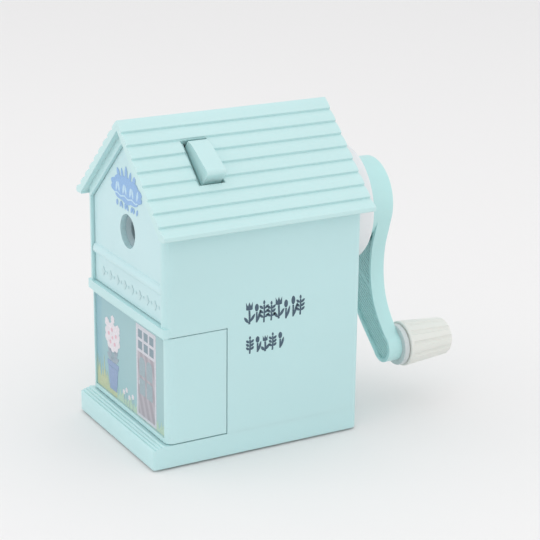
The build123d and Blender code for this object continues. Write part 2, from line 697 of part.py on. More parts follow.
with BuildPart() as front_plate:
    with BuildSketch(ground(PLATE_FACE)):
        peak = UNDER_Z - (RIM + 0.22) / cos(radians(PITCH))
        Polygon(*gable(HALF_W - RIM - GAP, LINTEL_TOP + GAP, peak), align=None)
    extrude(amount=-PLATE_T)
    # moulding along the top of the frieze
    with BuildSketch(Plane(origin=(-HALF_W + RIM + GAP, 0, 0), x_dir=(0, 1, 0), z_dir=(1, 0, 0))):
        with BuildLine():
            Line((PLATE_FACE, 61.0), (PLATE_FACE, 64.6))
            Spline((PLATE_FACE, 64.6), (PLATE_FACE - 1.0, 63.1), (PLATE_FACE - 0.9, 61.6), (PLATE_FACE, 61.0))
        make_face()
    extrude(amount=HOUSE_W - 2 * RIM - 2 * GAP)
    # side skirts and rod bosses behind the plate
    with BuildSketch(Plane.XY.offset(LINTEL_TOP + GAP + 0.2)):
        with Locations((-26.95, PLATE_BACK + 6), (26.95, PLATE_BACK + 6)):
            Rectangle(1.5, 12.0)
    extrude(amount=28.0)
    with BuildSketch(facing(PLATE_BACK)):
        with Locations((-ROD_X, ROD_Z - AXIS_Z), (ROD_X, ROD_Z - AXIS_Z)):
            Circle(3.8)
    extrude(amount=-7.5)
    with BuildSketch(facing(PLATE_BACK + 1)):
        with Locations((-ROD_X, ROD_Z - AXIS_Z), (ROD_X, ROD_Z - AXIS_Z)):
            Circle(ROD_R + 0.02)
    extrude(amount=-8, mode=Mode.SUBTRACT)
    with BuildSketch(facing(PLATE_FACE - 1)):
        Circle(MOUTH_R)
    extrude(amount=-5, mode=Mode.SUBTRACT)
write(front_plate.part, "front_plate")

with BuildPart() as clamp_block:
    with BuildSketch(facing(PLATE_BACK)):
        Rectangle(2 * BLOCK_X, 14.6)
    extrude(amount=-(BLOCK_REAR - PLATE_BACK))
    with BuildSketch(facing(PLATE_BACK + BLOCK_FRONT_T)):
        Rectangle(2 * BLOCK_X + 1, CHANNEL[1] - CHANNEL[0])
    extrude(amount=-10, mode=Mode.SUBTRACT)
    with BuildSketch(facing(PLATE_BACK - 1)):
        Circle(6.9)
    extrude(amount=-(BLOCK_FRONT_T + 2), mode=Mode.SUBTRACT)
    with BuildSketch(facing(BLOCK_REAR + 1)):
        with GridLocations(29, 11.6, 2, 2):
            Circle(0.92)
    extrude(amount=7, mode=Mode.SUBTRACT)
write(clamp_block.part, "clamp_block")

with BuildPart() as pencil_guide:
    with BuildSketch(facing(PLATE_BACK)):
        Circle(6.85)
    extrude(amount=-BLOCK_FRONT_T)
    with BuildSketch(facing(PLATE_BACK)):
        Circle(PENCIL_R)
    extrude(amount=-BLOCK_FRONT_T, mode=Mode.SUBTRACT)
    chamfer(pencil_guide.edges().filter_by(GeomType.CIRCLE).group_by(Axis.Y)[0].sort_by(SortBy.RADIUS)[0], 1.2)
write(pencil_guide.part, "pencil_guide")

with BuildPart() as clamp_cover:
    with BuildSketch(facing(BLOCK_REAR)):
        Rectangle(2 * BLOCK_X, 14.6)
        Circle(5.5, mode=Mode.SUBTRACT)
        with GridLocations(29, 11.6, 2, 2):
            Circle(1.0, mode=Mode.SUBTRACT)
    extrude(amount=-COVER_T)
write(clamp_cover.part, "clamp_cover")

with BuildPart() as clamp_screws:
    with BuildSketch(facing(BLOCK_REAR + COVER_T)):
        with GridLocations(29, 11.6, 2, 2):
            Circle(1.4)
    extrude(amount=-1.1)
    with BuildSketch(facing(BLOCK_REAR + COVER_T)):
        with GridLocations(29, 11.6, 2, 2):
            Circle(0.9)
    extrude(amount=7.0)
write(clamp_screws.part, "clamp_screws")

ROD_END = 27.0
CLIP_Y = 25.5

with BuildPart() as guide_rods:
    with BuildSketch(facing(PLATE_BACK + 1)):
        with Locations((-ROD_X, ROD_Z - AXIS_Z), (ROD_X, ROD_Z - AXIS_Z)):
            Circle(ROD_R)
    extrude(amount=-(ROD_END - PLATE_BACK - 1))
write(guide_rods.part, "guide_rods")

with BuildPart() as rod_clips:
    with BuildSketch(facing(CLIP_Y)):
        with Locations((-ROD_X, ROD_Z - AXIS_Z), (ROD_X, ROD_Z - AXIS_Z)):
            Circle(3.6)
            Circle(ROD_R + 0.02, mode=Mode.SUBTRACT)
    extrude(amount=-0.8)
write(rod_clips.part, "rod_clips")

COIL_R = 2.9
WIRE_R = 0.35


def coil(seat, length, turns, radius):
    """Round-wire compression spring standing on the seat plane."""
    with BuildPart() as spring:
        with BuildLine():
            path = Helix(pitch=length / turns, height=length, radius=radius)
        with BuildSketch(Plane(origin=path @ 0, z_dir=path % 0)):
            Circle(WIRE_R)
        sweep(path=path)
    return spring.part.moved(seat.location)


spring_length = CLIP_Y - BULKHEAD_BACK - 2 * WIRE_R - 0.2
for side, label in ((1, "right"), (-1, "left")):
    seat = Plane(origin=(side * ROD_X, BULKHEAD_BACK + WIRE_R + 0.1, ROD_Z), x_dir=(1, 0, 0), z_dir=(0, 1, 0))
    write(coil(seat, spring_length, 10, COIL_R), f"return_spring_{label}")

# ---- jaws that grip the pencil, each with a rail the release lever pushes ----
JAW_GRIP = 2.8
RAIL_X = 20.0
RAIL_REAR = 15.0

with BuildPart() as jaw:
    with BuildSketch(Plane.XY.offset(CHANNEL[0] + GAP)):
        with Locations(((JAW_GRIP + 1.5 + 22) / 2, (JAW_FRONT + JAW_REAR) / 2)):
            Rectangle(22 - JAW_GRIP - 1.5, JAW_REAR - JAW_FRONT)
    extrude(amount=CHANNEL[1] - CHANNEL[0] - 2 * GAP)
    with BuildSketch(Plane.XY.offset(77.0)):
        with Locations((RAIL_X + 1, (JAW_FRONT + RAIL_REAR) / 2)):
            Rectangle(2.0, RAIL_REAR - JAW_FRONT)
    extrude(amount=5.0)
both_sides(jaw.part, "jaw")

with BuildPart() as jaw_pad:
    with BuildSketch(facing(JAW_FRONT + 0.5)):
        with Locations((JAW_GRIP + 0.75, 0)):
            Rectangle(1.5, 6.0)
        for i in range(5):
            with Locations((JAW_GRIP, -2.4 + 1.2 * i)):
                Rectangle(0.6, 0.6, rotation=45, mode=Mode.SUBTRACT)
    extrude(amount=-(JAW_REAR - JAW_FRONT - 1))
both_sides(jaw_pad.part, "jaw_pad")

# ---- release levers in the roof ----
FINGER_Z = 80.0

with BuildPart() as release_lever:
    with BuildSketch(ground(LEVER_FRONT)):
        # pad: flush with the roof at its upper end, sweeping up to a rounded grip at the lower end
        with BuildLine():
            sweep_up = ((LEVER_TOP_D, 0.1), (15.0, 1.5), (19.0, 2.5), (23.5, 3.4), (LEVER_LOW_D - 1.6, LEVER_PROUD))
            grip = ((LEVER_LOW_D - 1.6, LEVER_PROUD), (LEVER_LOW_D - 0.4, LEVER_PROUD - 0.5), (LEVER_LOW_D, LEVER_PROUD - 1.7))
            Spline(*[down_slope(d, n) for d, n in sweep_up])
            ThreePointArc(*[down_slope(d, n) for d, n in grip])
            Polyline(*[down_slope(d, n) for d, n in (grip[-1], (LEVER_LOW_D, -3.6), (LEVER_TOP_D, -3.6), sweep_up[0])])
        make_face()
        stem = [down_slope(d, n) for d, n in ((20.5, -1), (26.4, -1), (30.0, -6.0), (27.0, -8.0))]
        Polygon(*stem, align=None)
        with Locations((PIVOT_X, PIVOT_Z)):
            Circle(2.9)
        Polygon((PIVOT_X - 1.5, PIVOT_Z), (PIVOT_X + 2.4, PIVOT_Z), (19.7, 83), (19.7, FINGER_Z - 1), (17.4, FINGER_Z - 1), align=None)
        # seat for the spring between the two levers
        Polygon((8.4, 100.2), (14.0, 100.2), (11.0, 103.8), (8.4, 103.8), align=None)
    extrude(amount=-(LEVER_REAR - LEVER_FRONT))
    with BuildSketch(facing(LEVER_FRONT - 1)):
        with Locations((PIVOT_X, PIVOT_Z - AXIS_Z)):
            Circle(LEVER_PIN_R + RUN)
    extrude(amount=-(LEVER_REAR - LEVER_FRONT + 2), mode=Mode.SUBTRACT)
both_sides(release_lever.part, "release_lever")

with BuildPart() as lever_pins:
    with BuildSketch(facing(LEVER_FRONT - 1.7)):
        with Locations((-PIVOT_X, PIVOT_Z - AXIS_Z), (PIVOT_X, PIVOT_Z - AXIS_Z)):
            Circle(LEVER_PIN_R)
    extrude(amount=-(BULKHEAD_BACK - LEVER_FRONT + 1.7))
write(lever_pins.part, "lever_pins")

with BuildPart() as lever_spacers:
    for y, thick, r in ((LEVER_FRONT - 0.9, 0.7, 2.4), (LEVER_REAR + 0.2, BULKHEAD_Y - LEVER_REAR - 0.2, 2.2)):
        with BuildSketch(facing(y)):
            with Locations((-PIVOT_X, PIVOT_Z - AXIS_Z), (PIVOT_X, PIVOT_Z - AXIS_Z)):
                Circle(r)
                Circle(LEVER_PIN_R + 0.02, mode=Mode.SUBTRACT)
        extrude(amount=-thick)
write(lever_spacers.part, "lever_spacers")

lever_seat = Plane(origin=(-7.9, (LEVER_FRONT + LEVER_REAR) / 2, 102.0), x_dir=(0, 1, 0), z_dir=(1, 0, 0))
write(coil(lever_seat, 15.8, 7, 1.4), "lever_spring")

# ---- drawer: tray, front with side panels, picture card ----
TRAY_X = 27.5
TRAY_REAR = 24.0
TRAY_T = 1.5
TRAY_BOTTOM = 9.8
TRAY_TOP = 45.0
PANEL_T = 2.0

with BuildPart() as drawer_tray:
    with BuildSketch(Plane.XY.offset(TRAY_BOTTOM)):
        with Locations((0, (DRAWER_FRONT + PANEL_T + TRAY_REAR) / 2)):
            Rectangle(2 * TRAY_X, TRAY_REAR - DRAWER_FRONT - PANEL_T)
    extrude(amount=TRAY_TOP - TRAY_BOTTOM)
    rim = drawer_tray.faces().sort_by(Axis.Z)[-1]
    offset(amount=-TRAY_T, openings=rim)
write(drawer_tray.part, "drawer_tray")

CARD_X = 28.4
CARD_BOTTOM = 10.6
CARD_TOP = 45.8

with BuildPart() as drawer_front:
    with BuildSketch(Plane.XY.offset(DRAWER_BOTTOM)):
        with Locations((0, (DRAWER_FRONT + WRAP_END) / 2)):
            Rectangle(HOUSE_W, WRAP_END - DRAWER_FRONT)
    extrude(amount=DRAWER_TOP - DRAWER_BOTTOM)
    front_corners = drawer_front.edges().filter_by(Axis.Z).group_by(Axis.Y)[0]
    fillet(front_corners, CORNER_R)
    with BuildSketch(Plane.XY.offset(DRAWER_BOTTOM - 1)):
        with Locations((0, (DRAWER_FRONT + PANEL_T + WRAP_END + 1) / 2)):
            Rectangle(2 * INNER_X, WRAP_END + 1 - DRAWER_FRONT - PANEL_T)
    extrude(amount=DRAWER_TOP - DRAWER_BOTTOM + 2, mode=Mode.SUBTRACT)
    with BuildSketch(ground(DRAWER_FRONT - 1)):
        with Locations((0, (CARD_BOTTOM + CARD_TOP) / 2)):
            Rectangle(2 * CARD_X, CARD_TOP - CARD_BOTTOM)
    extrude(amount=-(CARD_RECESS + 1), mode=Mode.SUBTRACT)
write(drawer_front.part, "drawer_front")

with BuildPart() as picture_card:
    with BuildSketch(ground(DRAWER_FRONT + CARD_RECESS - CARD_T)):
        with Locations((0, (CARD_BOTTOM + CARD_TOP) / 2)):
            Rectangle(2 * CARD_X - 0.2, CARD_TOP - CARD_BOTTOM - 0.2)
    extrude(amount=-CARD_T)
write(picture_card.part, "picture_card")
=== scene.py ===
import json
import math

import bmesh
import bpy
from mathutils import Matrix, Vector


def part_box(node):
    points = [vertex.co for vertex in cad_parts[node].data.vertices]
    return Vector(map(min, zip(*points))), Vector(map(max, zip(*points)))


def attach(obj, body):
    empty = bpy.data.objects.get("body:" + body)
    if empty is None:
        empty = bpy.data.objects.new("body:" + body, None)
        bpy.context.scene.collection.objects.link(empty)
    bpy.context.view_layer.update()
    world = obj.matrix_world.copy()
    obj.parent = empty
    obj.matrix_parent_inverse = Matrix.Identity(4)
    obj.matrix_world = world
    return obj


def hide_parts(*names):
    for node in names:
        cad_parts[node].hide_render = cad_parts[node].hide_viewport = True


MM = 0.001

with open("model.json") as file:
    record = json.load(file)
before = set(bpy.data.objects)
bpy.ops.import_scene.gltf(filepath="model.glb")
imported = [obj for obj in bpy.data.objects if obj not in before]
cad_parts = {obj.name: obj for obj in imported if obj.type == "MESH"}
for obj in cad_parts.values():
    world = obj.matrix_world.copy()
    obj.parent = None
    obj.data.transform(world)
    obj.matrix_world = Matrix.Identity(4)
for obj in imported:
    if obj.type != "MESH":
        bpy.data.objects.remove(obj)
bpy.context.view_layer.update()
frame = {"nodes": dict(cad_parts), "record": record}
nodes = frame["nodes"]


# ---------------------------------------------------------------- finishes


class Paint:
    """Node tree of one finish, with short helpers for building it."""

    def __init__(self, name, colour, roughness, **sockets):
        self.material = bpy.data.materials.new(name)
        self.material.use_nodes = True
        self.material.diffuse_color = (*colour, 1.0)
        self.tree = self.material.node_tree
        self.shader = self.tree.nodes["Principled BSDF"]
        self.shader.inputs["Base Color"].default_value = (*colour, 1.0)
        self.shader.inputs["Roughness"].default_value = roughness
        for socket, value in sockets.items():
            self.shader.inputs[socket.replace("_", " ")].default_value = value
        self.place = self.add("ShaderNodeTexCoord").outputs["Object"]

    def add(self, kind, **settings):
        node = self.tree.nodes.new(kind)
        for key, value in settings.items():
            setattr(node, key, value)
        return node

    def link(self, source, target):
        self.tree.links.new(source, target)

    def stretched(self, scale):
        """Object coordinates scaled differently along each axis."""
        mapping = self.add("ShaderNodeMapping")
        mapping.inputs["Scale"].default_value = scale
        self.link(self.place, mapping.inputs["Vector"])
        return mapping.outputs["Vector"]

    def noise(self, scale, detail=3.0, where=None):
        node = self.add("ShaderNodeTexNoise")
        node.inputs["Scale"].default_value = scale
        node.inputs["Detail"].default_value = detail
        self.link(where or self.place, node.inputs["Vector"])
        return node.outputs["Fac"]

    def ranged(self, source, low, high, from_low=0.3, from_high=0.7, smooth=False):
        node = self.add("ShaderNodeMapRange")
        if smooth:
            node.interpolation_type = "SMOOTHSTEP"
        node.inputs["From Min"].default_value = from_low
        node.inputs["From Max"].default_value = from_high
        node.inputs["To Min"].default_value = low
        node.inputs["To Max"].default_value = high
        self.link(source, node.inputs["Value"])
        return node.outputs["Result"]

    def mix(self, factor, first, second):
        node = self.add("ShaderNodeMix", data_type="RGBA")
        self.link(factor, node.inputs["Factor"])
        for socket, value in ((node.inputs["A"], first), (node.inputs["B"], second)):
            if isinstance(value, tuple):
                socket.default_value = (*value, 1.0)
            else:
                self.link(value, socket)
        return node.outputs["Result"]

    def colour(self, source):
        self.link(source, self.shader.inputs["Base Color"])

    def roughness(self, source):
        self.link(source, self.shader.inputs["Roughness"])

    def bump(self, layers):
        """Stacks bumps; each layer is (height socket, distance in metres, strength)."""
        normal = None
        for height, distance, strength in layers:
            node = self.add("ShaderNodeBump")
            node.inputs["Distance"].default_value = distance
            node.inputs["Strength"].default_value = strength
            self.link(height, node.inputs["Height"])
            if normal:
                self.link(normal, node.inputs["Normal"])
            normal = node.outputs["Normal"]
        self.link(normal, self.shader.inputs["Normal"])


def shade(colour, factor):
    return tuple(min(1.0, c * factor) for c in colour)


def moulded_plastic(name, colour, roughness=0.36, glow=0.12, texture=0.25):
    """Injection-moulded plastic: faint flow marks, orange peel, handling scuffs and a little light inside."""
    paint = Paint(name, colour, roughness, Subsurface_Weight=glow, Subsurface_Scale=0.004, IOR=1.52)
    paint.shader.inputs["Subsurface Radius"].default_value = (0.8, 1.0, 1.0)
    flow = paint.ranged(paint.noise(22.0, 2.0, paint.stretched((1.0, 0.4, 1.0))), 0.0, 1.0)
    cloudy = paint.mix(flow, shade(colour, 0.972), shade(colour, 1.02))
    specks = paint.ranged(paint.noise(900.0, 2.0), 0.0, 1.0, 0.68, 0.8)
    paint.colour(paint.mix(specks, cloudy, shade(colour, 0.95)))
    scuffs = paint.noise(160.0, 6.0, paint.stretched((1.0, 1.0, 0.22)))
    paint.roughness(paint.ranged(scuffs, roughness - 0.05, roughness + 0.09, 0.25, 0.75))
    peel = paint.noise(1300.0, 2.0)
    waves = paint.noise(70.0, 1.0)
    paint.bump([(peel, 0.00004, texture), (waves, 0.0003, 0.10)])
    return paint.material


def turned_metal(name, colour, roughness, along=(1.0, 0.03, 1.0)):
    """Plated or ground steel with fine marks along the lathe or grinder's path."""
    paint = Paint(name, colour, roughness, Metallic=1.0)
    marks = paint.noise(2600.0, 3.0, paint.stretched(along))
    stain = paint.ranged(paint.noise(120.0, 4.0), 0.0, 1.0)
    paint.colour(paint.mix(stain, shade(colour, 0.86), shade(colour, 1.05)))
    paint.roughness(paint.ranged(marks, roughness - 0.08, roughness + 0.12, 0.25, 0.75))
    paint.bump([(marks, 0.00003, 0.35)])
    return paint.material


def soft_rubber(name, colour):
    paint = Paint(name, colour, 0.78)
    grain = paint.noise(2200.0, 4.0)
    dust = paint.ranged(paint.noise(260.0, 5.0), 0.0, 1.0, 0.45, 0.7)
    paint.colour(paint.mix(dust, colour, shade(colour, 1.22)))
    paint.roughness(paint.ranged(grain, 0.68, 0.88))
    paint.bump([(grain, 0.00005, 0.5)])
    return paint.material


def printing_ink(name, colour, roughness=0.42):
    """Screen-printed ink: dense, with the slight mottle of the screen."""
    paint = Paint(name, colour, roughness)
    mottle = paint.ranged(paint.noise(1500.0, 3.0), 0.0, 1.0)
    paint.colour(paint.mix(mottle, shade(colour, 0.9), shade(colour, 1.08)))
    paint.roughness(paint.ranged(mottle, roughness - 0.04, roughness + 0.06, 0.0, 1.0))
    paint.bump([(mottle, 0.00001, 0.3)])
    return paint.material


WALL_MINT = (0.525, 0.755, 0.765)
ROOF_MINT = (0.55, 0.765, 0.765)
FRONT_MINT = (0.56, 0.77, 0.795)
CRANK_MINT = (0.505, 0.775, 0.77)
CREAM = (0.77, 0.775, 0.73)
OFF_WHITE = (0.80, 0.80, 0.815)
INNER_WHITE = (0.74, 0.77, 0.76)

wall_plastic = moulded_plastic("pale_mint_walls", WALL_MINT)
roof_plastic = moulded_plastic("pale_mint_roof", ROOF_MINT, roughness=0.33)
front_plastic = moulded_plastic("pale_mint_front", FRONT_MINT)
crank_plastic = moulded_plastic("mint_crank", CRANK_MINT, roughness=0.32)
collar_plastic = moulded_plastic("off_white_collar", OFF_WHITE, roughness=0.30)
knob_plastic = moulded_plastic("cream_knob", CREAM, roughness=0.40)
seat_plastic = moulded_plastic("grey_knob_seat", (0.60, 0.65, 0.65), roughness=0.45)
inner_plastic = moulded_plastic("natural_white_plastic", INNER_WHITE, roughness=0.42)
dark_plastic = moulded_plastic("grey_guide_plastic", (0.34, 0.44, 0.47), roughness=0.5, glow=0.0)
zinc = turned_metal("zinc_plated_steel", (0.66, 0.67, 0.68), 0.30)
cutter_steel = turned_metal("ground_cutter_steel", (0.34, 0.34, 0.35), 0.34, along=(0.2, 1.0, 0.2))
spring_steel = turned_metal("spring_wire", (0.58, 0.58, 0.59), 0.28)
brass = turned_metal("turned_brass", (0.72, 0.53, 0.24), 0.26)
foot_rubber = soft_rubber("pale_grey_foot_rubber", (0.42, 0.44, 0.44))
pad_rubber = soft_rubber("black_jaw_rubber", (0.03, 0.03, 0.032))

FINISH_OF_SLOT = {
    "house_mint": wall_plastic,
    "roof_mint": roof_plastic,
    "crank_mint": crank_plastic,
    "collar_white": collar_plastic,
    "knob_cream": knob_plastic,
    "seat_grey": seat_plastic,
    "inner_white": inner_plastic,
    "dark_plastic": dark_plastic,
    "pad_rubber": pad_rubber,
    "foot_rubber": foot_rubber,
    "zinc_steel": zinc,
    "cutter_steel": cutter_steel,
    "spring_steel": spring_steel,
    "brass": brass,
    "printed_card": front_plastic,
}
SLOT_OF_NODE = {row["node"]: row["material_slot"] for row in frame["record"]["subparts"]}


def set_finish(obj, finish):
    obj.data.materials.clear()
    obj.data.materials.append(finish)


for node_name, node in nodes.items():
    set_finish(node, FINISH_OF_SLOT[SLOT_OF_NODE[node_name]])

set_finish(nodes["front_plate"], front_plastic)

BODIES = frame["record"]["behaviour"]["bodies"]
BODY_OF_NODE = {node_name: body for body, members in BODIES.items() for node_name in members}


# ---------------------------------------------------------------- softened mouldings


def new_piece(name, mesh, finish, body):
    """Links a finished mesh, already in place, as one piece of the object."""
    mesh.materials.clear()
    mesh.materials.append(finish)
    piece = bpy.data.objects.new(name, mesh)
    bpy.context.scene.collection.objects.link(piece)
    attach(piece, body)
    return piece


def cleaned_copy(node_name):
    """The designed mesh with its seams joined and flat areas made whole."""
    mesh = nodes[node_name].data.copy()
    work = bmesh.new()
    work.from_mesh(mesh)
    bmesh.ops.remove_doubles(work, verts=work.verts, dist=0.01 * MM)
    bmesh.ops.dissolve_limit(work, angle_limit=math.radians(0.8), verts=work.verts, edges=work.edges)
    bmesh.ops.connect_verts_concave(work, faces=work.faces)
    work.to_mesh(mesh)
    work.free()
    if "custom_normal" in mesh.attributes:
        mesh.attributes.remove(mesh.attributes["custom_normal"])
    return mesh


def softened(node_name, radius_mm, finish, sharp_degrees=32.0, segments=2):
    """Stands for a designed part, with the small radii that a mould leaves on its edges."""
    body, slot_name = BODY_OF_NODE[node_name], SLOT_OF_NODE[node_name]
    mesh = cleaned_copy(node_name)
    for face in mesh.polygons:
        face.use_smooth = True
    mesh.set_sharp_from_angle(angle=math.radians(sharp_degrees))
    piece = new_piece(node_name + "_moulded", mesh, finish, body)
    edges = piece.modifiers.new("rounded_edges", "BEVEL")
    edges.width = radius_mm * MM
    edges.segments = segments
    edges.limit_method = "ANGLE"
    edges.angle_limit = math.radians(sharp_degrees)
    edges.harden_normals = True
    edges.use_clamp_overlap = True
    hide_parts(node_name)
    return piece


EDGE_RADIUS_MM = {
    "house_shell": 0.45,
    "roof": 0.35,
    "base_plate": 0.45,
    "drawer_front": 0.4,
    "front_plate": 0.3,
    "rear_collar": 0.6,
    "crank_arm": 0.55,
    "release_lever_right": 0.4,
    "release_lever_left": 0.4,
    "knob_seat": 0.3,
    "knob": 0.25,
    "crank_cap": 0.2,
    "pencil_guide": 0.2,
}
for node_name, radius_mm in EDGE_RADIUS_MM.items():
    finish = front_plastic if node_name == "front_plate" else FINISH_OF_SLOT[SLOT_OF_NODE[node_name]]
    softened(node_name, radius_mm, finish)


# ---------------------------------------------------------------- flat printed shapes


class Face:
    """A flat side of the house to print on; places are (across, up) in mm from the middle of the base."""

    def __init__(self, axis, level, outward):
        self.axis, self.level, self.outward = axis, level, outward

    def at(self, across, up, proud_mm):
        depth = self.level + self.outward * proud_mm * MM
        if self.axis == "y":
            return Vector((across * MM, depth, up * MM))
        return Vector((depth, across * MM, up * MM))


INK_BELOW_MM = 0.03  # how far a printed shape reaches into what it is printed on


def raised(face, outlines, top_mm):
    """Mesh of thin closed plates, one for each outline."""
    work = bmesh.new()
    for outline in outlines:
        count = len(outline)
        low = [work.verts.new(face.at(a, u, -INK_BELOW_MM)) for a, u in outline]
        high = [work.verts.new(face.at(a, u, top_mm)) for a, u in outline]
        work.faces.new(low)
        work.faces.new(high)
        for i in range(count):
            j = (i + 1) % count
            work.faces.new((low[i], low[j], high[j], high[i]))
    bmesh.ops.recalc_face_normals(work, faces=work.faces)
    mesh = bpy.data.meshes.new("plates")
    work.to_mesh(mesh)
    work.free()
    return mesh


def printed(name, face, outlines, top_mm, finish, body):
    return new_piece(name, raised(face, outlines, top_mm), finish, body)


def rectangle(across, up, width, height):
    """Outline with its lower left corner at (across, up)."""
    return [(across, up), (across + width, up), (across + width, up + height), (across, up + height)]


def oval(across, up, half_width, half_height, turn=0.0, count=20, waves=0, wave_share=0.0):
    """Oval outline, turned by degrees, with a scalloped edge where waves is given."""
    points = []
    c, s = math.cos(math.radians(turn)), math.sin(math.radians(turn))
    for i in range(count):
        t = 2 * math.pi * i / count
        swell = 1 + wave_share * abs(math.sin(waves * t / 2)) if waves else 1
        a, u = half_width * math.cos(t) * swell, half_height * math.sin(t) * swell
        points.append((across + a * c - u * s, up + a * s + u * c))
    return points


def leaf(across, up, length, width, turn, count=10):
    """Pointed leaf growing from (across, up) in the direction turn, in degrees from upright."""
    along = math.radians(90 - turn)
    right = []
    for i in range(count + 1):
        t = i / count
        bulge = width / 2 * math.sin(math.pi * t) ** 0.8
        right.append((t * length, bulge))
    left = [(d, -w) for d, w in reversed(right[1:-1])]
    return [
        (across + d * math.cos(along) - w * math.sin(along), up + d * math.sin(along) + w * math.cos(along))
        for d, w in right + left
    ]


def pen_line(points, width):
    """Outline of a pen line of even width through points."""
    left, right = [], []
    for i, (a, u) in enumerate(points):
        before, after = points[max(i - 1, 0)], points[min(i + 1, len(points) - 1)]
        da, du = after[0] - before[0], after[1] - before[1]
        length = math.hypot(da, du)
        na, nu = -du / length * width / 2, da / length * width / 2
        left.append((a + na, u + nu))
        right.append((a - na, u - nu))
    return left + right[::-1]


def tufts(start, end, ground_up, tallest, blades, lean=0.3):
    """Outline of a strip of grass with pointed blades of uneven height."""
    points = [(start, ground_up)]
    step = (end - start) / blades
    for i in range(blades):
        height = tallest * (0.62 + 0.38 * math.sin(2.3 * i + 0.7) * math.cos(1.1 * i))
        points.append((start + step * i + 0.02, ground_up + height * 0.55))
        points.append((start + step * (i + 0.5) + lean * math.sin(1.7 * i), ground_up + height))
    points.append((end, ground_up + tallest * 0.4))
    points.append((end, ground_up))
    return points


# ---------------------------------------------------------------- picture on the drawer

card_low, card_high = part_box("picture_card")
CARD = Face("y", card_low.y, -1)
CARD_LEFT, CARD_RIGHT = card_low.x / MM, card_high.x / MM
CARD_BOTTOM, CARD_TOP = card_low.z / MM, card_high.z / MM


def card_wall():
    """Wall of the printed picture: flat teal, a little lighter to the right, with painted shade from the side
    of the recess, darker and bluer, along the left edge.
    """
    paint = Paint("card_wall_teal", (0.33, 0.52, 0.55), 0.45)
    split = paint.add("ShaderNodeSeparateXYZ")
    paint.link(paint.place, split.inputs["Vector"])
    across = paint.ranged(split.outputs["X"], 0.0, 1.0, CARD_LEFT * MM, CARD_RIGHT * MM)
    wash = paint.mix(across, (0.315, 0.51, 0.55), (0.37, 0.56, 0.575))
    # painted shade from the recess side: full for the first 3.5 mm from the left edge, gone by 6 mm
    left_edge = CARD_LEFT * MM
    recess_shade_from, recess_shade_to = left_edge + 3.5 * MM, left_edge + 6.0 * MM
    recess_shade = paint.ranged(split.outputs["X"], 1.0, 0.0, recess_shade_from, recess_shade_to, smooth=True)
    recess_shaded = paint.mix(recess_shade, wash, (0.28, 0.48, 0.54))
    mottle = paint.ranged(paint.noise(600.0, 4.0), 0.0, 1.0)
    speckled = paint.add("ShaderNodeMix", data_type="RGBA", blend_type="MULTIPLY")
    speckled.inputs["Factor"].default_value = 0.06
    paint.link(recess_shaded, speckled.inputs["A"])
    grey = paint.mix(mottle, (0.7, 0.7, 0.7), (1.0, 1.0, 1.0))
    paint.link(grey, speckled.inputs["B"])
    paint.colour(speckled.outputs["Result"])
    paint.roughness(paint.ranged(mottle, 0.4, 0.5, 0.0, 1.0))
    paint.bump([(mottle, 0.00001, 0.3)])
    return paint.material


def planked_ink(name, colour, dark):
    """Ink with fine slanting lines, as drawn boards."""
    paint = Paint(name, colour, 0.45)
    wave = paint.add("ShaderNodeTexWave", wave_type="BANDS", bands_direction="DIAGONAL")
    wave.inputs["Scale"].default_value = 150.0
    wave.inputs["Distortion"].default_value = 0.6
    paint.link(paint.stretched((1.0, 0.0, 0.45)), wave.inputs["Vector"])
    lines = paint.ranged(wave.outputs["Fac"], 0.0, 1.0, 0.35, 0.75, smooth=True)
    mottle = paint.ranged(paint.noise(900.0, 3.0), 0.0, 1.0)
    paint.colour(paint.mix(lines, dark, colour))
    paint.roughness(paint.ranged(mottle, 0.4, 0.5, 0.0, 1.0))
    paint.bump([(mottle, 0.00001, 0.3)])
    return paint.material


set_finish(nodes["picture_card"], card_wall())


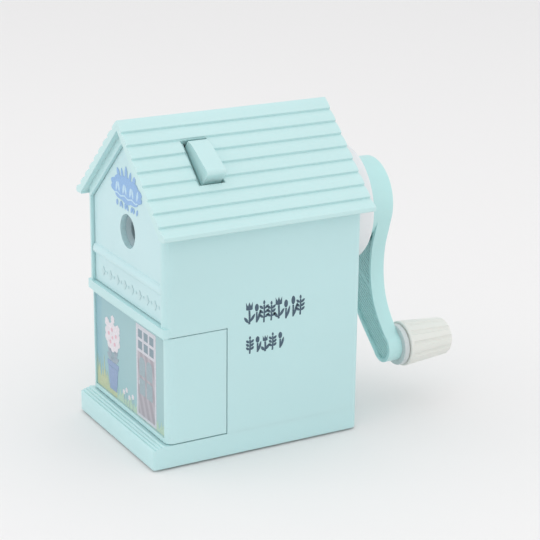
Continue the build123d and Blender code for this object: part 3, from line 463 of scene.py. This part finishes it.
def card_picture():
    grass_green = printing_ink("card_grass_green", (0.46, 0.61, 0.48))
    grass_yellow = printing_ink("card_meadow_yellow", (0.50, 0.56, 0.36))
    frame_white = printing_ink("card_door_frame", (0.62, 0.62, 0.67))
    pane_dark = printing_ink("card_transom_glass", (0.23, 0.31, 0.36))
    glass = printing_ink("card_door_glass", (0.33, 0.42, 0.46))
    boards = planked_ink("card_door_boards", (0.46, 0.43, 0.47), (0.37, 0.34, 0.38))
    blossom = printing_ink("card_blossom_white", (0.74, 0.70, 0.74))
    blush = printing_ink("card_blossom_pink", (0.72, 0.45, 0.52))
    navy = printing_ink("card_pot_blue", (0.27, 0.36, 0.54))
    slate = printing_ink("card_stem_slate", (0.33, 0.40, 0.46))

    def ink(name, outlines, layer, finish):
        printed("card_" + name, CARD, outlines, 0.03 + 0.03 * layer, finish, "drawer")

    low, left, right = CARD_BOTTOM + 0.1, CARD_LEFT + 0.1, CARD_RIGHT - 0.1
    ink("grass", [tufts(left, right, low, 6.2, 44)], 0, grass_green)
    tall_grass = tufts(left, left + 9.0, low, 13.5, 9)
    ink("meadow", [tall_grass, tufts(left + 9.3, left + 17.0, low, 7.5, 9)], 1, grass_yellow)

    # door: white frame, six small panes above, boarded leaf with four panes
    door_left, door_low, door_width, door_top = 5.6, low + 0.2, 15.6, CARD_TOP - 0.7
    door = rectangle(door_left, door_low, door_width, door_top - door_low)
    ink("door_frame", [door], 1, frame_white)
    leaf_left, leaf_width, leaf_top = door_left + 1.2, door_width - 2.4, door_top - 9.8
    door_leaf = rectangle(leaf_left, door_low + 1.1, leaf_width, leaf_top - door_low - 1.1)
    ink("door_leaf", [door_leaf], 2, boards)
    transom = []
    for column in range(3):
        for row in range(2):
            transom.append(rectangle(leaf_left + 0.5 + 4.5 * column, leaf_top + 1.1 + 4.1 * row, 3.2, 3.0))
    ink("transom", transom, 2, pane_dark)
    panes = []
    for column in range(2):
        pane_left = leaf_left + 1.3 + 5.7 * column
        middle = pane_left + 2.3
        panes.append(rectangle(pane_left, leaf_top - 15.4, 4.6, 6.0))
        arch = []
        for i in range(11):
            turn = math.pi * i / 10
            arch.append((middle + 2.3 * math.cos(turn), leaf_top - 3.4 + 2.0 * math.sin(turn)))
        panes.append(arch + [(pane_left, leaf_top - 8.4), (pane_left + 4.6, leaf_top - 8.4)])
    ink("panes", panes, 3, glass)
    ink("handle", [oval(leaf_left + 1.0, low + 13.0, 0.45, 0.8)], 3, frame_white)

    # potted bush in bloom, standing on the grass
    pot_x, pot_low = -14.2, low + 2.0
    soil, bush = pot_low + 10.7, pot_low + 20.2
    pot = [(pot_x + a, pot_low + u) for a, u in ((-3.0, 0), (3.0, 0), (4.1, 8.6), (-4.1, 8.6))]
    ink("pot", [pot, rectangle(pot_x - 4.7, pot_low + 8.8, 9.4, 1.9)], 2, navy)
    stems = []
    for k in (-1, 0, 1):
        rising = [(pot_x + 0.5 * k, soil), (pot_x + 1.2 * k, soil + 3.8), (pot_x + 1.9 * k, soil + 6.8)]
        stems.append(pen_line(rising, 0.55))
    leaves = []
    for side in (-1, 1):
        for k in range(3):
            leaves.append(leaf(pot_x + side * 0.8, pot_low + 11.0 + 1.6 * k, 4.6, 2.0, side * (62 - 14 * k)))
    ink("stems", stems, 1, slate)
    ink("pot_leaves", leaves, 2, slate)
    ink("bush", [oval(pot_x, bush, 5.6, 4.9, count=60, waves=10, wave_share=0.16)], 3, blossom)
    buds = []
    for across, up, radius in ((-4.6, 24.6, 1.5), (4.4, 24.2, 1.5), (0.3, 26.9, 1.3)):
        buds.append(oval(pot_x + across, pot_low + up, radius, radius, count=40, waves=6, wave_share=0.25))
    ink("bush_buds", buds, 2, blossom)
    dots = []
    for a in (0.4, 1.7, 2.9, 4.1, 5.3):
        dots.append(oval(pot_x + 3.2 * math.cos(a), bush + 2.7 * math.sin(a), 0.8, 0.75, count=12))
    dots.append(oval(pot_x, pot_low + 20.0, 0.7, 0.65, count=12))
    ink("bush_dots", dots, 4, blush)
    heads, stalks = [], []
    for x, height in ((-5.2, 4.6), (-2.9, 6.0), (-0.6, 4.0), (2.2, 5.2)):
        heads.append(oval(x, low + height, 0.75, 0.75, count=30, waves=6, wave_share=0.35))
        stalks.append(pen_line([(x, low + 0.2), (x, low + height - 0.8)], 0.3))
    ink("daisies", heads, 2, blossom)
    ink("daisy_stems", stalks, 1, slate)


card_picture()


# ---------------------------------------------------------------- prints on the house

plate_low, plate_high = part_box("front_plate")
MOULDING_PROUD = 0.001  # the frieze moulding stands this far in front of the plate
GABLE = Face("y", plate_low.y + MOULDING_PROUD, -1)
house_low, house_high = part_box("house_shell")


def gable_badge():
    blue = printing_ink("gable_print_blue", (0.27, 0.46, 0.74))
    pale = printing_ink("gable_print_pale", (0.50, 0.70, 0.84))
    middle, up = -0.4, 90.3
    plaque = oval(middle, up, 11.4, 4.3, count=90, waves=10, wave_share=0.12)
    finials = [leaf(middle + 2.6 * k, up + 2.9, 5.6 - 0.7 * abs(k), 2.1, 15 * k) for k in (-2, 0, 2)]
    finials += [leaf(middle + 2.6 * k, up + 2.9, 4.4, 1.7, 15 * k) for k in (-1, 1)]
    printed("gable_plaque", GABLE, [plaque], 0.045, blue, "sliding_front")
    printed("gable_finials", GABLE, finials, 0.03, blue, "sliding_front")
    sprigs = []
    for k in range(-3, 4):
        sprigs.append(leaf(middle + 2.75 * k, up - 1.8, 3.8, 1.35, 16 if k % 2 else -16))
    wavy = [(middle - 9.0 + 1.5 * i, up - 2.6 + 0.35 * math.sin(1.6 * i)) for i in range(13)]
    sprigs.append(pen_line(wavy, 0.5))
    printed("gable_plaque_leaves", GABLE, sprigs, 0.06, pale, "sliding_front")
    row = []
    for k in range(8):
        x = middle - 7.6 + 2.2 * k
        if k % 3:
            row.append(leaf(x, 83.3, 2.6, 1.2, 24 if k % 2 else -24))
        else:
            row.append(oval(x, 84.5, 0.75, 1.05, count=16))
    printed("gable_leaf_row", GABLE, row, 0.03, blue, "sliding_front")


def tulip(across, up, height):
    """Hand-drawn flower: stem, two leaves and a cup of three strokes."""
    w = height * 0.16
    head = up + height * 0.62
    tip, dip = head + height * 0.38, head + height * 0.2
    cup = [(-w, tip), (-w, head + 0.3), (0, head), (w, head + 0.3), (w, tip)]
    cup += [(w * 0.45, dip), (0, tip), (-w * 0.45, dip)]
    return [
        pen_line([(across, up), (across + 0.12, up + height * 0.3), (across, head - 0.05)], 0.72),
        leaf(across + 0.35, up + height * 0.1, height * 0.42, 1.05, 34),
        leaf(across - 0.35, up + height * 0.06, height * 0.36, 1.05, -36),
        [(across + a, u) for a, u in cup],
    ]


def fern(across, up, height):
    """Hand-drawn sprig: a stem with three pairs of leaves and one at the tip."""
    stem = [(across - 0.1, up), (across + 0.1, up + height * 0.5), (across, up + height * 0.8)]
    strokes = [pen_line(stem, 0.62)]
    for k in range(3):
        base = up + height * (0.22 + 0.2 * k)
        strokes.append(leaf(across + 0.3, base, height * 0.26, 0.95, 48))
        strokes.append(leaf(across - 0.3, base, height * 0.26, 0.95, -48))
    strokes.append(leaf(across, up + height * 0.8, height * 0.22, 0.8, 0))
    return strokes


def bulrush(across, up, height):
    """Hand-drawn reed: a stem with a long rounded head and one blade."""
    return [
        pen_line([(across, up), (across, up + height * 0.55)], 0.65),
        oval(across, up + height * 0.77, 0.75, height * 0.2, count=18),
        leaf(across + 0.35, up + height * 0.05, height * 0.62, 0.95, 16),
    ]


def wall_flowers():
    """Two rows of hand-drawn flowers in dark ink, on both long walls."""
    slate = printing_ink("wall_print_slate", (0.060, 0.105, 0.150), roughness=0.5)
    makers = (tulip, fern, bulrush)
    for side, level, outward in (("right", house_high.x, 1), ("left", house_low.x, -1)):
        wall = Face("x", level, outward)
        outlines = []
        for k in range(8):
            draw = makers[(k * 2 + k // 3) % 3]
            base, height = 47.3 + 0.25 * math.sin(2.1 * k), 7.4 + 0.5 * math.cos(3.0 * k)
            outlines += draw(-26.3 + 2.85 * k, base, height)
        for k in range(5):
            draw = makers[(k + 1) % 3]
            base, height = 36.6 + 0.15 * math.sin(1.9 * k), 6.0 + 0.3 * math.cos(2.0 * k)
            outlines += draw(-26.0 + 2.95 * k, base, height)
        printed("wall_flowers_" + side, wall, outlines, 0.03, slate, "housing")


gable_badge()
wall_flowers()


# ---------------------------------------------------------------- repeated details


def tree_with(name, sockets):
    """Geometry node tree with its geometry sockets and the named number inputs given."""
    tree = bpy.data.node_groups.new(name, "GeometryNodeTree")
    tree.interface.new_socket("Geometry", in_out="INPUT", socket_type="NodeSocketGeometry")
    for label, (kind, value) in sockets.items():
        socket = tree.interface.new_socket(label, in_out="INPUT", socket_type=kind)
        socket.default_value = value
    tree.interface.new_socket("Geometry", in_out="OUTPUT", socket_type="NodeSocketGeometry")
    return tree


def grown(start_mesh, tree, values, name):
    """Evaluates the tree on a mesh and returns the result as a plain mesh."""
    carrier = bpy.data.objects.new(name + "_carrier", start_mesh)
    bpy.context.scene.collection.objects.link(carrier)
    modifier = carrier.modifiers.new("grow", "NODES")
    modifier.node_group = tree
    for item in tree.interface.items_tree:
        if item.item_type == "SOCKET" and item.in_out == "INPUT" and item.name in values:
            modifier[item.identifier] = values[item.name]
    graph = bpy.context.evaluated_depsgraph_get()
    mesh = bpy.data.meshes.new_from_object(carrier.evaluated_get(graph), depsgraph=graph)
    carrier.modifiers.clear()
    bpy.data.objects.remove(carrier)
    return mesh


def hatch_tree(finish):
    """Slanting bars in a row, cut to the shape that comes in."""
    tree = tree_with(
        "arm_hatching",
        {
            "Bars": ("NodeSocketInt", 50),
            "First": ("NodeSocketVector", (0.0, 0.0, 0.0)),
            "Step": ("NodeSocketVector", (0.0, 0.0, 0.001)),
            "Bar Size": ("NodeSocketVector", (0.04, 0.002, 0.0006)),
            "Slant": ("NodeSocketFloat", 0.6),
        },
    )
    add, link = tree.nodes.new, tree.links.new
    taken = add("NodeGroupInput")
    given = add("NodeGroupOutput")
    row = add("GeometryNodeMeshLine")
    row.mode = "OFFSET"
    bar = add("GeometryNodeMeshCube")
    turn = add("ShaderNodeCombineXYZ")
    copies = add("GeometryNodeInstanceOnPoints")
    plain = add("GeometryNodeRealizeInstances")
    cut = add("GeometryNodeMeshBoolean")
    cut.operation = "INTERSECT"
    whole = add("GeometryNodeRealizeInstances")
    paint = add("GeometryNodeSetMaterial")
    paint.inputs["Material"].default_value = finish
    link(taken.outputs["Bars"], row.inputs["Count"])
    link(taken.outputs["First"], row.inputs["Start Location"])
    link(taken.outputs["Step"], row.inputs["Offset"])
    link(taken.outputs["Bar Size"], bar.inputs["Size"])
    link(taken.outputs["Slant"], turn.inputs["Y"])
    link(row.outputs["Mesh"], copies.inputs["Points"])
    link(bar.outputs["Mesh"], copies.inputs["Instance"])
    link(turn.outputs["Vector"], copies.inputs["Rotation"])
    link(copies.outputs["Instances"], plain.inputs["Geometry"])
    link(taken.outputs["Geometry"], cut.inputs["Mesh 2"])
    link(plain.outputs["Geometry"], cut.inputs["Mesh 2"])
    link(cut.outputs["Mesh"], whole.inputs["Geometry"])
    link(whole.outputs["Geometry"], paint.inputs["Geometry"])
    link(paint.outputs["Geometry"], given.inputs["Geometry"])
    return tree


HUB_EDGE = 0.0615  # lowest point of the crank's hub, metres above the table
HATCH_DEEP = 1.9  # height of the hatching, mm; a little less than the hollow
HATCH_STEP = 1.3
HATCH_SLANT = math.radians(32.0)
HATCH_WIDE = 0.8


def arm_hollow_block():
    """Solid block that fills the arm's hollow up to the height of the hatching."""
    source = nodes["crank_arm"].data
    below_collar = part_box("rear_collar")[0].z
    facing_house = [f for f in source.polygons if f.normal.y < -0.99 and f.center.z < below_collar]
    floor_level = max(f.center.y for f in facing_house)
    hollow_shallowest = floor_level - 0.2 * MM
    facing_house = [f for f in source.polygons if f.normal.y < -0.99 and f.center.z < HUB_EDGE]
    keep = {f.index for f in facing_house if f.center.y > hollow_shallowest}
    work = bmesh.new()
    work.from_mesh(source)
    work.faces.ensure_lookup_table()
    extra = [f for f in work.faces if f.index not in keep]
    bmesh.ops.delete(work, geom=extra, context="FACES")
    bmesh.ops.remove_doubles(work, verts=work.verts, dist=0.01 * MM)
    flat = list(work.faces)
    grown_part = bmesh.ops.extrude_face_region(work, geom=flat)
    moved = [v for v in grown_part["geom"] if isinstance(v, bmesh.types.BMVert)]
    bmesh.ops.translate(work, verts=moved, vec=(0, -HATCH_DEEP * MM, 0))
    bmesh.ops.translate(work, verts=[v for v in work.verts if v not in moved], vec=(0, 0.1 * MM, 0))
    bmesh.ops.recalc_face_normals(work, faces=work.faces)
    mesh = bpy.data.meshes.new("arm_hollow")
    work.to_mesh(mesh)
    work.free()
    return mesh, floor_level


def arm_hatching():
    block, floor_level = arm_hollow_block()
    values = {
        "Bars": 54,
        "First": (0.008, floor_level - HATCH_DEEP / 2 * MM, 0.006),
        "Step": (0.0, 0.0, HATCH_STEP * MM),
        "Bar Size": (0.09, (HATCH_DEEP + 1.0) * MM, HATCH_WIDE * MM),
        "Slant": HATCH_SLANT,
    }
    mesh = grown(block, hatch_tree(crank_plastic), values, "hatching")
    return new_piece("arm_hatching", mesh, crank_plastic, "crank")


def lozenge_tree(finish):
    """One shape repeated in a level row."""
    sockets = {"Count": ("NodeSocketInt", 8), "Step": ("NodeSocketVector", (0.005, 0.0, 0.0))}
    tree = tree_with("frieze_row", sockets)
    add, link = tree.nodes.new, tree.links.new
    taken = add("NodeGroupInput")
    given = add("NodeGroupOutput")
    row = add("GeometryNodeMeshLine")
    row.mode = "OFFSET"
    copies = add("GeometryNodeInstanceOnPoints")
    plain = add("GeometryNodeRealizeInstances")
    paint = add("GeometryNodeSetMaterial")
    paint.inputs["Material"].default_value = finish
    link(taken.outputs["Count"], row.inputs["Count"])
    link(taken.outputs["Step"], row.inputs["Offset"])
    link(row.outputs["Mesh"], copies.inputs["Points"])
    link(taken.outputs["Geometry"], copies.inputs["Instance"])
    link(copies.outputs["Instances"], plain.inputs["Geometry"])
    link(plain.outputs["Geometry"], paint.inputs["Geometry"])
    link(paint.outputs["Geometry"], given.inputs["Geometry"])
    return tree


def frieze_lozenges():
    """Faint raised lozenges with dots between them, along the band above the drawer."""
    left, up = -21.0, 55.9
    lozenge = [(left - 1.5, up), (left, up - 1.8), (left + 1.5, up), (left, up + 1.8)]
    shape = raised(GABLE, [lozenge, oval(left + 3.0, up, 0.5, 0.5, count=16)], 0.05)
    mesh = grown(shape, lozenge_tree(front_plastic), {"Count": 8, "Step": (6.0 * MM, 0.0, 0.0)}, "frieze")
    return new_piece("frieze_lozenges", mesh, front_plastic, "sliding_front")


arm_hatching()
frieze_lozenges()


# ---------------------------------------------------------------- camera, light and floor

LENS_MM = 115.0
EYE = Vector((0.51221, -0.28963, 0.24753))
VIEW_DIRECTION = Vector((-0.82743, 0.46622, -0.31304)).normalized()
ROLL = math.radians(0.60)


def place_camera():
    data = bpy.data.cameras.new("camera")
    data.lens = LENS_MM
    data.sensor_width = 36.0
    data.clip_start = 0.01
    data.clip_end = 20.0
    camera = bpy.data.objects.new("camera", data)
    bpy.context.scene.collection.objects.link(camera)
    right = VIEW_DIRECTION.cross(Vector((0, 0, 1))).normalized()
    up = right.cross(VIEW_DIRECTION)
    tilted_right = right * math.cos(ROLL) + up * math.sin(ROLL)
    tilted_up = up * math.cos(ROLL) - right * math.sin(ROLL)
    turn = Matrix((tilted_right, tilted_up, -VIEW_DIRECTION)).transposed()
    camera.matrix_world = Matrix.Translation(EYE) @ turn.to_4x4()
    bpy.context.scene.camera = camera


def area_light(name, where, target, size, power):
    data = bpy.data.lights.new(name, "AREA")
    data.shape = "RECTANGLE"
    data.size, data.size_y = size
    data.energy = power
    light = bpy.data.objects.new(name, data)
    light.location = where
    aim = Vector(target) - Vector(where)
    light.rotation_euler = aim.to_track_quat("-Z", "Y").to_euler()
    bpy.context.scene.collection.objects.link(light)


SKY_STRENGTH = 0.96
HOUSE_MIDDLE = (0, 0, 0.06)
SOFTBOXES = (  # name, place, aimed at, size in metres, watts
    ("overhead_softbox", (0.15, -0.05, 0.95), (0, 0, 0.05), (1.2, 1.2), 1.5),
    ("right_softbox", (0.95, 0.25, 0.45), HOUSE_MIDDLE, (0.9, 0.9), 0.8),
    ("front_softbox", (-0.35, -0.95, 0.40), HOUSE_MIDDLE, (0.9, 0.7), 1.5),
)


def studio():
    world = bpy.data.worlds.new("studio")
    world.use_nodes = True
    background = world.node_tree.nodes["Background"]
    background.inputs["Color"].default_value = (0.93, 0.95, 0.96, 1.0)
    background.inputs["Strength"].default_value = SKY_STRENGTH
    bpy.context.scene.world = world
    for softbox in SOFTBOXES:
        area_light(*softbox)
    bpy.context.scene.view_settings.view_transform = "Standard"
    bpy.context.scene.view_settings.look = "None"


def floor():
    paint = Paint("pale_floor", (0.865, 0.842, 0.837), 0.75)
    paint.roughness(paint.ranged(paint.noise(40.0), 0.7, 0.8))
    mesh = bpy.data.meshes.new("floor")
    half = 6.0
    floor_corners = [(-half, -half, 0), (half, -half, 0), (half, half, 0), (-half, half, 0)]
    mesh.from_pydata(floor_corners, [], [(0, 1, 2, 3)])
    ground = bpy.data.objects.new("floor", mesh)
    bpy.context.scene.collection.objects.link(ground)
    ground.data.materials.append(paint.material)


place_camera()
studio()
floor()
